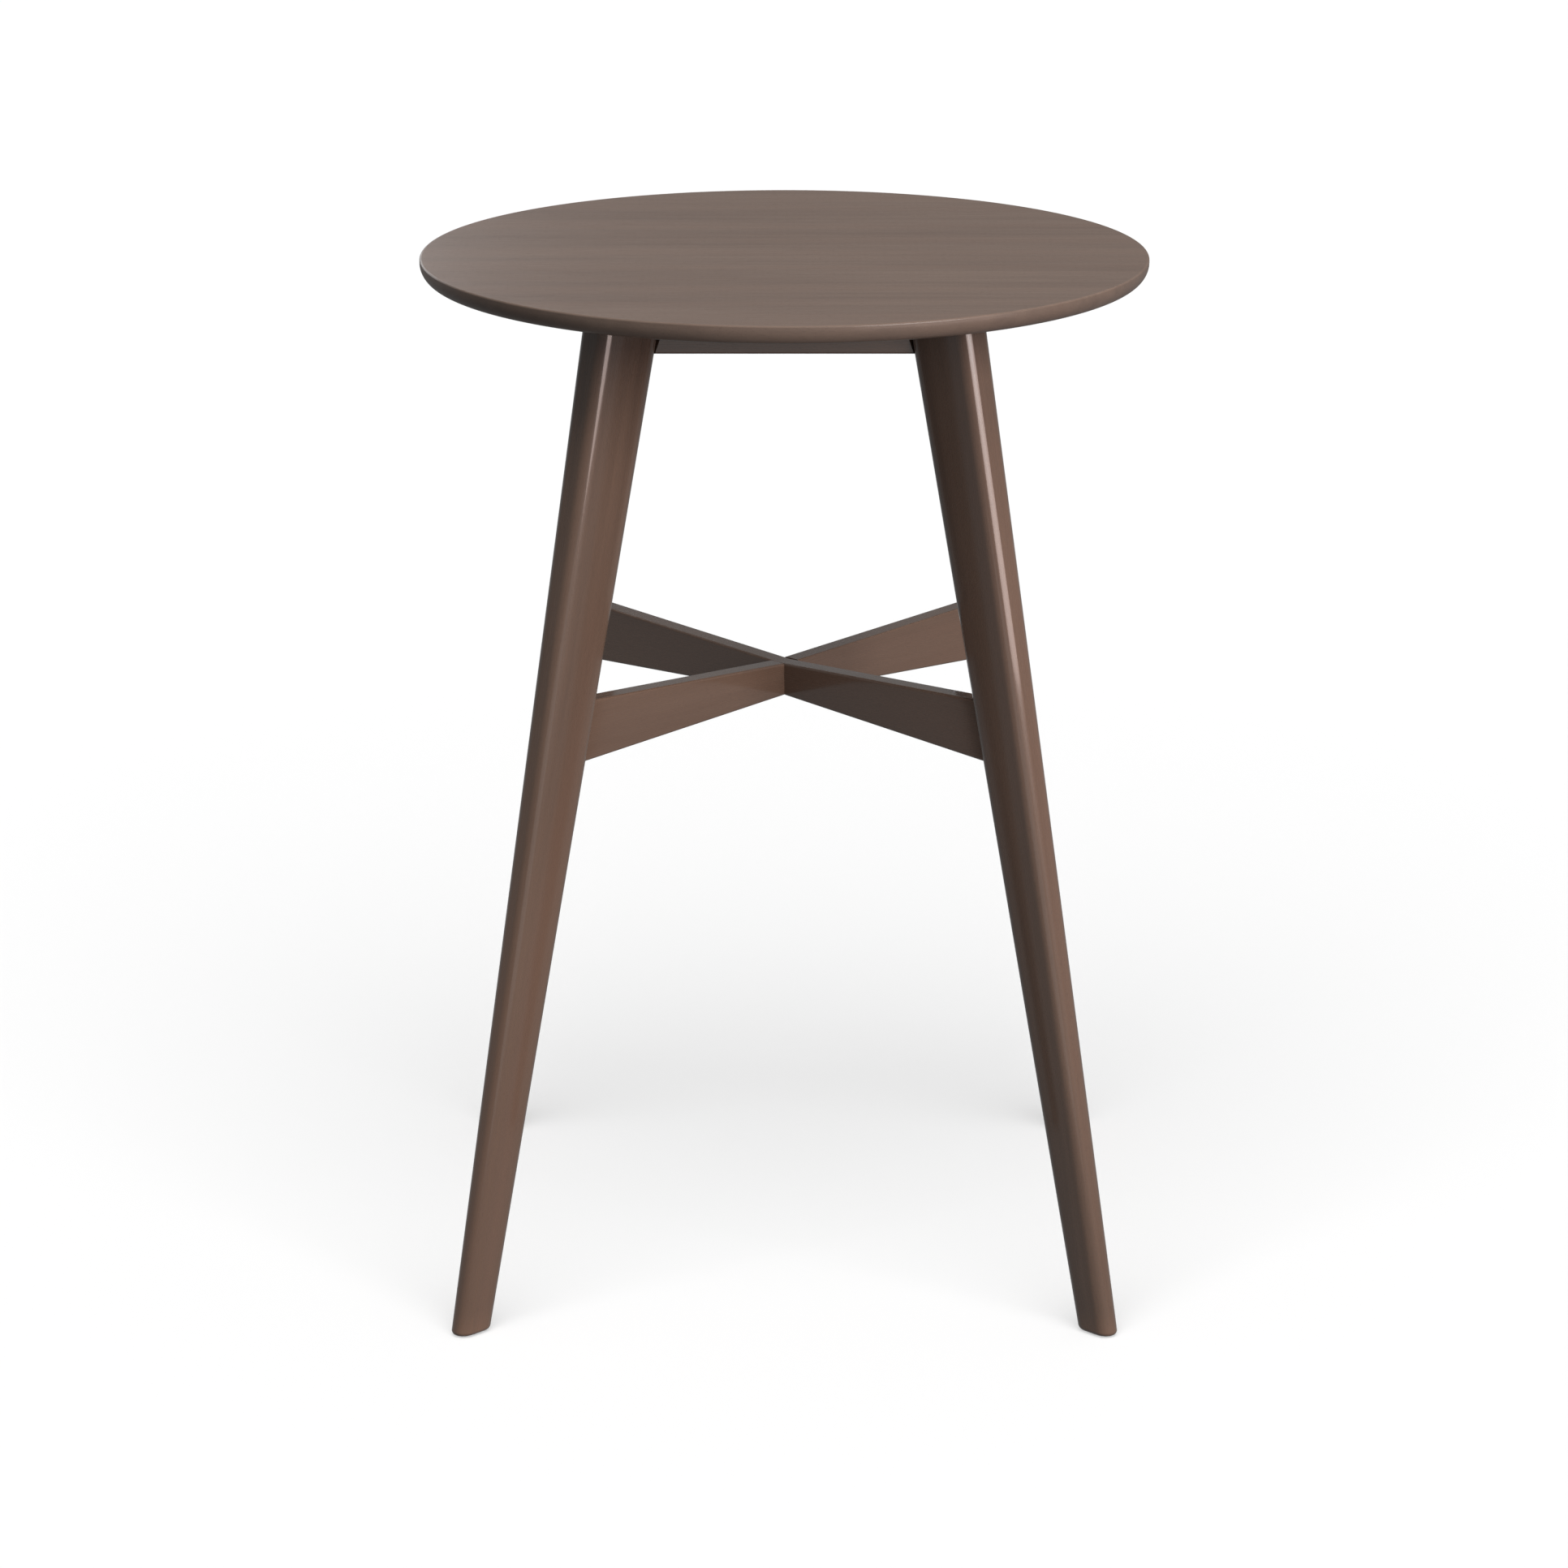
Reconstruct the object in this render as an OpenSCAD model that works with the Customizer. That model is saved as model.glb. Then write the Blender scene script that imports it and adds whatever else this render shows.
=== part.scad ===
// Round bar table on four splayed, tapered legs with a crossed stretcher.
// The origin is on the floor under the middle of the top, +Z is up and the front is towards -Y.
// Legs, corner blocks, bolts and stretchers are drawn in a diagonal plane, where X runs out
// from the middle of the table and Y runs across the leg, and are then turned into place.

/* [Tabletop] */
// Height of the table, from the floor to the top face
table_h = 1060; // [1000:5:1120]
// Diameter of the round top
top_d = 750; // [660:10:840]
// Thickness of the top
top_t = 20; // [18:1:26]
// Radius of the small round on the upper rim
top_arris_r = 2; // [1:0.5:3]
// Height of the upright band of the rim, between the two rounds
top_band_h = 2.2; // [1:0.2:4]
// How far the under-edge curve reaches in from the rim
top_undercut = 14; // [8:1:24]

/* [Legs] */
// Distance from the table's middle to the middle of a leg, at the floor
leg_foot_reach = 455.5; // [420:0.5:490]
// Distance from the table's middle to the middle of a leg, under the top
leg_head_reach = 227; // [215:0.5:240]
// Width of a leg at the floor, seen square to its broad face
leg_foot_w = 44.5; // [38:0.5:50]
// Width of a leg under the top
leg_head_w = 83.5; // [76:0.5:92]
// Thickness of a leg at the floor
leg_foot_t = 26; // [22:0.5:32]
// Thickness of a leg under the top
leg_head_t = 41; // [36:1:46]
// Radius of a leg's long edges, where the leg is thick enough for it
leg_edge_r = 12.5; // [8:0.5:15]
// Flat left at least between the two edges of a leg's narrow face
leg_edge_flat = 1; // [0.5:0.5:3]
// How far the middle of a broad face swells past its edges
leg_crown = 1; // [0.4:0.2:2]
// Radius round the lower end of a leg
leg_end_r = 4.5; // [3:0.5:7]

/* [Apron frame] */
// Height of the apron rails
apron_h = 54; // [50:1:64]
// Thickness of an apron rail
rail_t = 20; // [18:1:24]
// Radius of the lower edges of a rail
rail_edge_r = 2; // [1:0.5:4]
// Width of the bevelled frame corner that a leg sits on, at the lower edge of the apron
bevel_w = 27; // [22:1:34]
// Depth of a corner block, from its inner face to the frame's inside corner
block_depth = 39; // [36:1:44]
// How far a corner block stops short of the lower edge of the apron
block_reveal = 3; // [2:0.5:5]
// How much of the sharp tip is taken off each end of a corner block
block_tip_cut = 4; // [2:0.5:6]

/* [Stretcher] */
// Height of the middle of the crossing above the floor
cross_z = 611; // [540:1:680]
// Thickness of a stretcher board
board_t = 21; // [18:1:24]
// Height of a stretcher board at the crossing
board_mid_h = 33.5; // [28:0.5:40]
// How far the upper edge climbs from the crossing to the leg
board_rise = 13.5; // [6:1:20]
// How far the lower edge falls from the crossing to the leg
board_fall = 15.5; // [6:1:22]
// Radius of the long edges of a board
board_edge_r = 2.5; // [1.5:0.5:4]
// Thickness of the tenon
tenon_t = 10; // [8:1:12]
// How far the tenon goes into the leg
tenon_l = 24; // [18:1:30]
// Wood left above and below the tenon
tenon_shoulder = 9; // [7:1:12]

/* [Leg bolts] */
// Bolt diameter over the thread
bolt_d = 8; // [6:1:8]
// Bolt length under the head
bolt_l = 70; // [64:1:76]
// Diameter of the domed bolt head
bolt_head_d = 14; // [12:0.5:15]
// Height of the domed bolt head
bolt_head_h = 4.4; // [3.5:0.1:5.5]
// Width across the flats of the hexagon socket
bolt_socket_w = 5; // [4:0.5:6]
// Depth of the hexagon socket
bolt_socket_depth = 2.6; // [2:0.1:3]
// Upright distance between the two bolts of a leg
bolt_pitch = 26; // [24:1:28]
// Thickness of the flat washer
washer_t = 1.6; // [1.2:0.1:2]
// Diameter of the flat washer
washer_d = 16; // [15:0.5:17]
// Thickness of the split spring washer
spring_t = 2; // [1.6:0.1:2.4]
// Diameter of the split spring washer
spring_d = 14.4; // [13.5:0.1:15]
// Width of the slot in the spring washer
spring_slot_w = 1; // [0.8:0.1:1.4]
// Diameter of the threaded insert in the leg
insert_d = 12.5; // [12:0.5:14]
// Length of the threaded insert
insert_l = 18; // [15:1:20]
// How far the insert is sunk below the leg's face, on its axis
insert_sunk = 2.5; // [2:0.5:4]

/* [Wood screws and dowels] */
// Diameter of the screws that hold the top
top_screw_d = 4; // [3.5:0.5:5]
// Length of the screws that hold the top
top_screw_l = 40; // [36:1:44]
// How far those screws bite into the top
top_screw_bite = 14; // [10:1:15]
// Diameter of their pan heads
top_screw_head_d = 8; // [7:0.5:9]
// Height of their pan heads
top_screw_head_h = 2.8; // [2:0.2:3.4]
// Distance of each top screw from the middle of its rail
top_screw_x = 58; // [40:1:64]
// Diameter of the screw through the crossing
cross_screw_d = 4; // [3:0.5:5]
// Length of the screw through the crossing
cross_screw_l = 25; // [22:1:28]
// Diameter of its countersunk head
cross_screw_head_d = 7.6; // [7:0.2:9]
// Diameter of the dowels between rail and corner block
dowel_d = 8; // [6:1:8]
// Length of a dowel
dowel_l = 30; // [26:1:30]
// How far a dowel goes into the rail
dowel_in_rail = 12; // [10:1:14]
// Distance of the dowels from the frame's inside corner
dowel_inset = 32; // [31:0.5:35]
// Upright distance between the two dowels of a joint
dowel_pitch = 26; // [22:1:28]

/* [Feet] */
// Thickness of the floor glide under a leg
glide_t = 1.5; // [1:0.5:3]
// Diameter of the floor glide
glide_d = 15; // [14:1:18]
// Shank diameter of the nail that holds the glide
nail_d = 2.4; // [2:0.2:3]
// Head diameter of that nail
nail_head_d = 5.6; // [5:0.2:6.4]
// Length of that nail
nail_l = 20; // [14:1:24]

/* [Fits] */
// Air round a tenon in its mortise and round a crossing board, each side
joint_fit = 0.15; // [0.1:0.05:0.3]
// Air at the end of a mortise, dowel hole or bolt hole
end_fit = 1; // [0.5:0.1:1.5]
// Air round a bolt or screw in a clearance hole, each side
bolt_fit = 0.5; // [0.3:0.1:0.8]
// Air round a thread, dowel, insert or nail that is a tight fit, each side
thread_fit = 0.1; // [0.05:0.05:0.2]
// Air between flat wooden faces that are glued or drawn together
seat_fit = 0.05; // [0.02:0.01:0.1]

/* [Hidden] */

$fn = 48;
slab = 0.01;
beyond = 600;

wood = [0.42, 0.33, 0.28];
wood_top = [0.47, 0.40, 0.35];
wood_pale = [0.74, 0.62, 0.46];
steel = [0.70, 0.71, 0.73];
brass = [0.78, 0.66, 0.36];
nylon = [0.20, 0.17, 0.15];

// Turn of each corner's diagonal plane and of each rail
front_left_angle = 225;
front_right_angle = 315;
back_right_angle = 45;
back_left_angle = 135;
corners = [front_left_angle, front_right_angle, back_right_angle, back_left_angle];
front_side_angle = 0;
right_side_angle = 90;
back_side_angle = 180;
left_side_angle = 270;
sides = [front_side_angle, right_side_angle, back_side_angle, left_side_angle];

under_top = table_h - top_t;
apron_z = under_top - apron_h;

// Sizes of a leg at a height above the floor, all of them straight tapers
function taper(foot, head, z) = foot + (head - foot) * z / under_top;
function leg_mid(z) = taper(leg_foot_reach, leg_head_reach, z);
function leg_w(z) = taper(leg_foot_w, leg_head_w, z);
function leg_t(z) = taper(leg_foot_t, leg_head_t, z);
function leg_edge(z) = min(leg_edge_r, (leg_t(z) - leg_edge_flat) / 2);
function leg_inner(z) = leg_mid(z) - leg_w(z) / 2;

// The frame's half width puts its bevelled corners on the inner faces of the legs
frame_half = (leg_inner(apron_z) * sqrt(2) + bevel_w / sqrt(2)) / 2;
frame_inside = frame_half - rail_t;
block_apex = frame_inside * sqrt(2);
block_face = block_apex - block_depth;
block_h = apron_h - block_reveal;

bolt_heights = [for (s = [-1, 1]) apron_z + apron_h / 2 + s * bolt_pitch / 2];
bolt_seat = block_face - washer_t - spring_t;
bolt_tip = bolt_seat + bolt_l;
dowel_heights = [for (s = [-1, 1]) apron_z + apron_h / 2 + s * dowel_pitch / 2];
dowel_along = frame_inside - dowel_inset;

screw_seat = under_top + top_screw_bite - top_screw_l;
screw_line = frame_half - rail_t / 2;

board_top = cross_z + board_mid_h / 2;
board_bottom = cross_z - board_mid_h / 2;
board_reach = leg_inner(cross_z);
tenon_low = board_bottom - board_fall + tenon_shoulder;
tenon_high = board_top + board_rise - tenon_shoulder;
tenon_root = board_reach - tenon_l;
tenon_tip = board_reach + tenon_l;

// Point on a circle, used for every rounded outline
function arc_point(c, r, a) = [c[0] + r * cos(a), c[1] + r * sin(a)];

// Outline of a leg cut level at one height. Four round corners are joined by straight narrow
// faces and by broad faces that swell in a shallow parabola.
function swell(p, w, t) = [p[0], p[1] * (1 - 2 * leg_crown / t * pow(2 * p[0] / w, 2))];
function corner_arc(w, t, r, q) = [
    for (a = [0:90 / 8:90])
        arc_point([sign(cos(q + 45)) * (w / 2 - r), sign(sin(q + 45)) * (t / 2 - r)], r, q + a)
];
function broad_face(w, t, r, side) = [
    for (k = [-0.75:0.25:0.75]) [-side * k * (w / 2 - r), side * t / 2]
];
function leg_section(w, t, r) = [
    for (p = concat(corner_arc(w, t, r, 0), broad_face(w, t, r, 1), corner_arc(w, t, r, 90),
                    corner_arc(w, t, r, 180), broad_face(w, t, r, -1), corner_arc(w, t, r, 270)))
        swell(p, w, t)
];

// One level slice of the leg, drawn in by inset on every side
module leg_slice(z, inset = 0) {
    translate([leg_mid(z), 0, z - slab / 2])
        linear_extrude(slab)
            polygon(leg_section(leg_w(z) - 2 * inset, leg_t(z) - 2 * inset, leg_edge(z) - inset));
}

// The whole leg before any hole is cut, with its lower end rounded
module leg_blank() {
    hull() {
        for (a = [0:30:90])
            leg_slice(glide_t + slab / 2 + leg_end_r * (1 - cos(a)), leg_end_r * (1 - sin(a)));
        leg_slice(under_top - seat_fit - slab / 2);
    }
}

// Everything on the leg's side of its inner face, which bevels the frame
module leg_side() {
    translate([-seat_fit, 0, 0]) rotate([90, 0, 0])
        linear_extrude(2 * beyond, center = true)
            polygon([[leg_inner(0), 0], [leg_inner(table_h), table_h],
                     [beyond, table_h], [beyond, 0]]);
}

// A cylinder that lies along X in the diagonal plane
module rod(d, x0, x1, z) {
    translate([x0, 0, z]) rotate([0, 90, 0]) cylinder(d = d, h = x1 - x0);
}

// Round-ended tenon or mortise, lying along X
module tenon(x0, x1, fit = 0) {
    r = tenon_t / 2 + fit;
    translate([x0, 0, 0]) rotate([90, 0, 90]) linear_extrude(x1 - x0) {
        for (z = [tenon_low + tenon_t / 2, tenon_high - tenon_t / 2])
            translate([0, z]) circle(r = r);
        translate([-r, tenon_low + tenon_t / 2]) square([2 * r, tenon_high - tenon_low - tenon_t]);
    }
}

module leg(turn) {
    color(wood) rotate(turn) difference() {
        leg_blank();
        tenon(tenon_root, tenon_tip + end_fit, joint_fit);
        for (z = bolt_heights) {
            rod(insert_d + 2 * thread_fit, leg_inner(z) - insert_d / 2,
                leg_inner(z) + insert_sunk + insert_l, z);
            rod(bolt_d + 2 * bolt_fit, leg_inner(z), bolt_tip + end_fit, z);
        }
        translate([leg_mid(0), 0, 0])
            cylinder(d = nail_d + 2 * thread_fit, h = nail_l + end_fit);
    }
}

// Upright outline of one half of the rim, from the middle of the top outwards
function rim_outline() = let(
    r = top_d / 2,
    band_low = table_h - top_arris_r - top_band_h,
    drop = band_low - under_top
) concat(
    [[0, under_top], [0, table_h]],
    [for (a = [90:-15:0]) arc_point([r - top_arris_r, table_h - top_arris_r], top_arris_r, a)],
    [for (a = [0:7.5:90]) [r - top_undercut * (1 - cos(a)), band_low - drop * sin(a)]]
);

module tabletop() {
    color(wood_top) difference() {
        rotate_extrude($fn = 180) polygon(rim_outline());
        for (side = sides, s = [-1, 1])
            rotate(side) translate([s * top_screw_x, -screw_line, under_top - top_t / 2])
                cylinder(d = top_screw_d + 2 * thread_fit,
                         h = top_t / 2 + top_screw_bite + end_fit);
    }
}

// Section of a rail with its two lower edges rounded, outer face at the left
function rail_section() = concat(
    [[-frame_half, under_top - seat_fit]],
    [for (a = [180:15:270])
        arc_point([-frame_half + rail_edge_r, apron_z + rail_edge_r], rail_edge_r, a)],
    [for (a = [270:15:360])
        arc_point([-frame_inside - rail_edge_r, apron_z + rail_edge_r], rail_edge_r, a)],
    [[-frame_inside, under_top - seat_fit]]
);

// Clearance holes for the bolts of one corner
module bolt_holes() {
    for (z = bolt_heights) rod(bolt_d + 2 * bolt_fit, block_face - bolt_d, block_apex + beyond, z);
}

// One dowel or dowel hole between the front rail and a block, starting in the rail
module dowel(s, z, d, l, chamfer = 0) {
    translate([s * dowel_along, -frame_inside - dowel_in_rail, z]) rotate([-90, 0, 0]) {
        cylinder(d1 = d - 2 * chamfer, d2 = d, h = chamfer);
        translate([0, 0, chamfer]) cylinder(d = d, h = l - 2 * chamfer);
        translate([0, 0, l - chamfer]) cylinder(d1 = d, d2 = d - 2 * chamfer, h = chamfer);
    }
}

// The dowel holes of one side of the frame, a pair at each end, in rail and blocks alike
module dowel_holes() {
    for (s = [-1, 1], z = dowel_heights)
        translate([0, -end_fit, 0]) dowel(s, z, dowel_d + 2 * thread_fit, dowel_l + 2 * end_fit);
}

// Rail with mitred ends whose outer corners are bevelled to the legs
module apron_rail(side) {
    color(wood) rotate(side) difference() {
        intersection() {
            rotate([90, 0, 90]) linear_extrude(2 * frame_half, center = true)
                polygon(rail_section());
            translate([0, 0, apron_z]) linear_extrude(apron_h)
                polygon([[-frame_half, -frame_half], [frame_half, -frame_half],
                         [frame_inside, -frame_inside], [-frame_inside, -frame_inside]]);
        }
        for (turn = [front_left_angle, front_right_angle]) rotate(turn) {
            leg_side();
            bolt_holes();
        }
        dowel_holes();
        for (s = [-1, 1]) translate([s * top_screw_x, -screw_line, 0]) {
            cylinder(d = top_screw_d + 2 * bolt_fit, h = under_top + end_fit);
            cylinder(d = top_screw_head_d + 2 * bolt_fit, h = screw_seat);
        }
    }
}

// Three-cornered block glued and dowelled into a frame corner
module corner_block(turn) {
    apex = block_apex - seat_fit * sqrt(2);
    half = block_depth - block_tip_cut;
    color(wood_pale) difference() {
        rotate(turn) translate([0, 0, apron_z + block_reveal]) linear_extrude(block_h - seat_fit)
            polygon([[apex, 0], [apex - half, half], [block_face, half],
                     [block_face, -half], [apex - half, -half]]);
        rotate(turn) leg_side();
        rotate(turn) bolt_holes();
        for (side = sides) rotate(side) dowel_holes();
    }
}

// Upright section of a board with rounded edges, height along Y
function board_section(low, high) = [
    for (q = [0:3], a = [0:15:90])
        arc_point([sign(cos(90 * q + 45)) * (board_t / 2 - board_edge_r),
                   (q < 2 ? high - board_edge_r : low + board_edge_r)], board_edge_r, 90 * q + a)
];

// One arm of a board, which grows taller from the crossing to the leg's inner face and on
// under the leg's skin by the same slopes
module arm() {
    run = leg_mid(cross_z);
    rise = board_rise * run / board_reach;
    fall = board_fall * run / board_reach;
    hull() {
        rotate([90, 0, 90]) linear_extrude(slab)
            polygon(board_section(board_bottom, board_top));
        translate([run, 0, 0]) rotate([90, 0, 90]) linear_extrude(slab)
            polygon(board_section(board_bottom - fall, board_top + rise));
    }
}

// A whole board. Its shoulders are scribed to the rounded inner faces of its two legs, and a
// notch for the other board opens upwards or downwards.
module stretcher_board(turn, notch_up) {
    notch_w = board_t + 2 * joint_fit;
    color(wood) rotate(turn) difference() {
        union() {
            difference() {
                for (a = [0, 180]) rotate(a) arm();
                for (a = [0, 180]) rotate(a) leg_blank();
            }
            for (a = [0, 180]) rotate(a) tenon(tenon_root, tenon_tip);
        }
        translate([-notch_w / 2, -board_t, notch_up ? cross_z : cross_z - board_mid_h])
            cube([notch_w, 2 * board_t, board_mid_h]);
        crossing_bore();
    }
}

// Countersunk bore that takes the screw through the crossing, open downwards
module crossing_bore() {
    r = cross_screw_d / 2 + thread_fit;
    head_r = cross_screw_head_d / 2 + thread_fit;
    translate([0, 0, board_bottom]) rotate_extrude()
        polygon([[0, -board_fall], [head_r, -board_fall], [head_r, 0], [r, head_r - r],
                 [r, cross_screw_l + end_fit], [0, cross_screw_l + end_fit]]);
}

// Pointed shank of a screw or nail, point upwards
module pointed_shank(d, l) {
    cylinder(d = d, h = l - d);
    translate([0, 0, l - d]) cylinder(d1 = d, d2 = d / 8, h = d);
}

// Cross recess in a screw head
module cross_recess(w, depth) {
    for (a = [0, 90]) rotate(a) translate([-w / 2, -w / 10, -depth])
        cube([w, w / 5, 2 * depth]);
}

module crossing_screw() {
    color(steel) translate([0, 0, board_bottom]) difference() {
        union() {
            cylinder(d1 = cross_screw_head_d, d2 = cross_screw_d,
                     h = (cross_screw_head_d - cross_screw_d) / 2);
            pointed_shank(cross_screw_d, cross_screw_l);
        }
        cross_recess(cross_screw_head_d / 2, cross_screw_d / 4);
    }
}

module top_screws() {
    head_r = top_screw_head_d / 2;
    for (side = sides, s = [-1, 1])
        color(steel) rotate(side) translate([s * top_screw_x, -screw_line, screw_seat]) {
            pointed_shank(top_screw_d, top_screw_l);
            difference() {
                translate([0, 0, -top_screw_head_h]) rotate_extrude()
                    polygon(concat([[0, top_screw_head_h], [0, 0]],
                        [for (a = [15:15:90])
                            [head_r * sin(a), top_screw_head_h / 2 * (1 - cos(a))]],
                        [[head_r, top_screw_head_h]]));
                translate([0, 0, -top_screw_head_h])
                    cross_recess(top_screw_head_d / 2, top_screw_head_h / 2);
            }
        }
}

// Places its children at every bolt axis, with X along the bolt
module at_bolts() {
    for (turn = corners, z = bolt_heights) rotate(turn) translate([0, 0, z]) children();
}

// Turned shape about the bolt axis, drawn with Y along the bolt
module turned(x) {
    translate([x, 0, 0]) rotate([0, 90, 0]) rotate_extrude() children();
}

module leg_bolts() {
    chamfer = bolt_d / 10;
    at_bolts() color(steel) difference() {
        union() {
            turned(bolt_seat) polygon([[0, 0], [bolt_d / 2, 0], [bolt_d / 2, bolt_l - chamfer],
                                       [bolt_d / 2 - chamfer, bolt_l], [0, bolt_l]]);
            turned(bolt_seat - bolt_head_h) polygon(concat([[0, bolt_head_h], [0, 0]],
                [for (a = [30:15:90])
                    [bolt_head_d / 2 * sin(a), (bolt_head_h - 1) * (1 - cos(a))]],
                [[bolt_head_d / 2, bolt_head_h]]));
        }
        translate([bolt_seat - bolt_head_h - 1, 0, 0]) rotate([0, 90, 0])
            cylinder(d = bolt_socket_w / cos(30), h = bolt_socket_depth + 1, $fn = 6);
    }
}

module flat_washers() {
    at_bolts() color(steel) turned(block_face - washer_t)
        translate([bolt_d / 2 + bolt_fit / 2, 0])
            square([(washer_d - bolt_d - bolt_fit) / 2, washer_t]);
}

module spring_washers() {
    at_bolts() color(steel) difference() {
        turned(block_face - washer_t - spring_t)
            translate([bolt_d / 2 + bolt_fit / 2, 0])
                square([(spring_d - bolt_d - bolt_fit) / 2, spring_t]);
        translate([block_face - washer_t - spring_t / 2, 0, spring_d / 2]) rotate([0, 0, 60])
            cube([spring_slot_w, 3 * spring_t, spring_d], center = true);
    }
}

module leg_inserts() {
    chamfer = 1;
    r = insert_d / 2;
    bore_r = bolt_d / 2 + thread_fit;
    for (turn = corners, z = bolt_heights)
        color(brass) rotate(turn) translate([0, 0, z]) turned(leg_inner(z) + insert_sunk)
            polygon([[bore_r + chamfer, 0], [r - chamfer, 0], [r, chamfer],
                     [r, insert_l - chamfer], [r - chamfer, insert_l],
                     [bore_r, insert_l], [bore_r, chamfer]]);
}

module block_dowels() {
    for (side = sides, s = [-1, 1], z = dowel_heights)
        color(wood_pale) rotate(side) dowel(s, z, dowel_d, dowel_l, dowel_d / 8);
}

// Nail head let into the glide, a little above the floor
nail_head_low = glide_t / 5;
nail_head_h = glide_t - nail_head_low;

module foot_glide(turn) {
    r = glide_d / 2;
    color(nylon) rotate(turn) translate([leg_mid(0), 0, 0]) difference() {
        rotate_extrude() polygon(concat(
            [[0, glide_t], [0, 0]],
            [for (a = [-90:15:0]) arc_point([r - glide_t / 2, glide_t / 2], glide_t / 2, a)],
            [[r, glide_t]]));
        cylinder(d = nail_d + 2 * thread_fit, h = glide_t + slab);
        cylinder(d = nail_head_d + 2 * thread_fit, h = nail_head_low + nail_head_h / 2);
    }
}

module glide_nails() {
    for (turn = corners)
        color(steel) rotate(turn) translate([leg_mid(0), 0, nail_head_low]) {
            cylinder(d = nail_head_d, h = nail_head_h / 2);
            pointed_shank(nail_d, nail_l - nail_head_low);
        }
}

tabletop();
apron_rail(front_side_angle);  // apron_rail_front
apron_rail(right_side_angle);  // apron_rail_right
apron_rail(back_side_angle);  // apron_rail_back
apron_rail(left_side_angle);  // apron_rail_left
corner_block(front_left_angle);  // corner_block_front_left
corner_block(front_right_angle);  // corner_block_front_right
corner_block(back_right_angle);  // corner_block_back_right
corner_block(back_left_angle);  // corner_block_back_left
leg(front_left_angle);  // leg_front_left
leg(front_right_angle);  // leg_front_right
leg(back_right_angle);  // leg_back_right
leg(back_left_angle);  // leg_back_left
stretcher_board(front_left_angle, true);  // stretcher_lower_board
stretcher_board(front_right_angle, false);  // stretcher_upper_board
foot_glide(front_left_angle);  // foot_glide_front_left
foot_glide(front_right_angle);  // foot_glide_front_right
foot_glide(back_right_angle);  // foot_glide_back_right
foot_glide(back_left_angle);  // foot_glide_back_left
leg_bolts();
spring_washers();
flat_washers();
leg_inserts();
block_dowels();
top_screws();
crossing_screw();
glide_nails();
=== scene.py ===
import bmesh
import bpy
import math
import numpy as np
from mathutils import Matrix


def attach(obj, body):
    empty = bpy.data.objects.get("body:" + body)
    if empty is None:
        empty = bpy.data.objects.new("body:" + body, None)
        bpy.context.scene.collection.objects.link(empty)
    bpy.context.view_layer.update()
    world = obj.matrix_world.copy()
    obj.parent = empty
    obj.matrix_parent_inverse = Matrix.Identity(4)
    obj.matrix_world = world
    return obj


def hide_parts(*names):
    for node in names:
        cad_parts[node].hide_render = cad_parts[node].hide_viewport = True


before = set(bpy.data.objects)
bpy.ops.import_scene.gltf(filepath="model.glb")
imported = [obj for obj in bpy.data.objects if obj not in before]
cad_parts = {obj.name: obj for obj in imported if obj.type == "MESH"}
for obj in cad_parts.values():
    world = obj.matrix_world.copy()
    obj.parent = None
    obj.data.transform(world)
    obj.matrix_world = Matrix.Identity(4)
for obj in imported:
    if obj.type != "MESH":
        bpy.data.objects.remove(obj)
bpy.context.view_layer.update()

# Legs: four, of walnut-stained hardwood. Each is sawn to a taper in both directions, its long
# edges are routed round, its broad faces are sanded to a slight swell and its foot is eased. It
# stands in a diagonal plane, and leans out from its head to its foot.
corner_turns = {"front_left": 225, "front_right": 315, "back_right": 45, "back_left": 135}
head_z = 1.040
foot_z = 0.0015
seat_gap = 0.00005
foot_reach, head_reach = 0.4555, 0.227
foot_width, head_width = 0.0445, 0.0835
foot_thickness, head_thickness = 0.026, 0.041
long_edge = 0.0125
face_swell = 0.001
foot_ease = 0.0045


def taper(foot, head, z):
    """Size of a leg at height z: a straight line from its size on the floor to that at the head."""
    return foot + (head - foot) * z / head_z


def leg_middle(z):
    """Distance of a leg's middle from the table's middle, at height z."""
    return taper(foot_reach, head_reach, z)


def leg_inner(z):
    """Distance of a leg's inner face from the table's middle, at height z."""
    return leg_middle(z) - taper(foot_width, head_width, z) / 2


# The stretcher's mortise in a leg, which stops short of the board's lower and upper edges
joint_gap, end_gap = 0.00015, 0.001
cross_z = 0.611
board_height, board_rise, board_fall = 0.0335, 0.0135, 0.0155
tenon_thickness, tenon_length, tenon_shoulder = 0.010, 0.024, 0.009
mortise_low = cross_z - board_height / 2 - board_fall + tenon_shoulder
mortise_high = cross_z + board_height / 2 + board_rise - tenon_shoulder

# The bolts' and inserts' bores. The apron frame's bevelled corners lie on the legs' inner faces,
# and the bolts' heads bear on the blocks in those corners, placed to a hundredth of a millimetre.
apron_height, rail_thickness = 0.054, 0.020
bevel_width, block_depth = 0.027, 0.039
apron_low = head_z - apron_height
frame_half = (leg_inner(apron_low) * math.sqrt(2) + bevel_width / math.sqrt(2)) / 2
block_face = round((frame_half - rail_thickness) * math.sqrt(2) - block_depth, 5)
washer_thickness, spring_thickness = 0.0016, 0.002
bolt_diameter, bolt_length, bolt_pitch = 0.008, 0.070, 0.026
bolt_heights = [apron_low + apron_height / 2 + side * bolt_pitch / 2 for side in (-1, 1)]
bolt_seat = block_face - washer_thickness - spring_thickness
bolt_bore = bolt_diameter / 2 + 0.0005
insert_diameter, insert_length, insert_sunk = 0.0125, 0.018, 0.0025
thread_gap = 0.0001

# The hole of the nail that holds a glide. Its cutter starts a little below the floor.
nail_diameter, nail_length = 0.0024, 0.020
nail_bore = nail_diameter / 2 + thread_gap
nail_hole_low = -0.001


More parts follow.
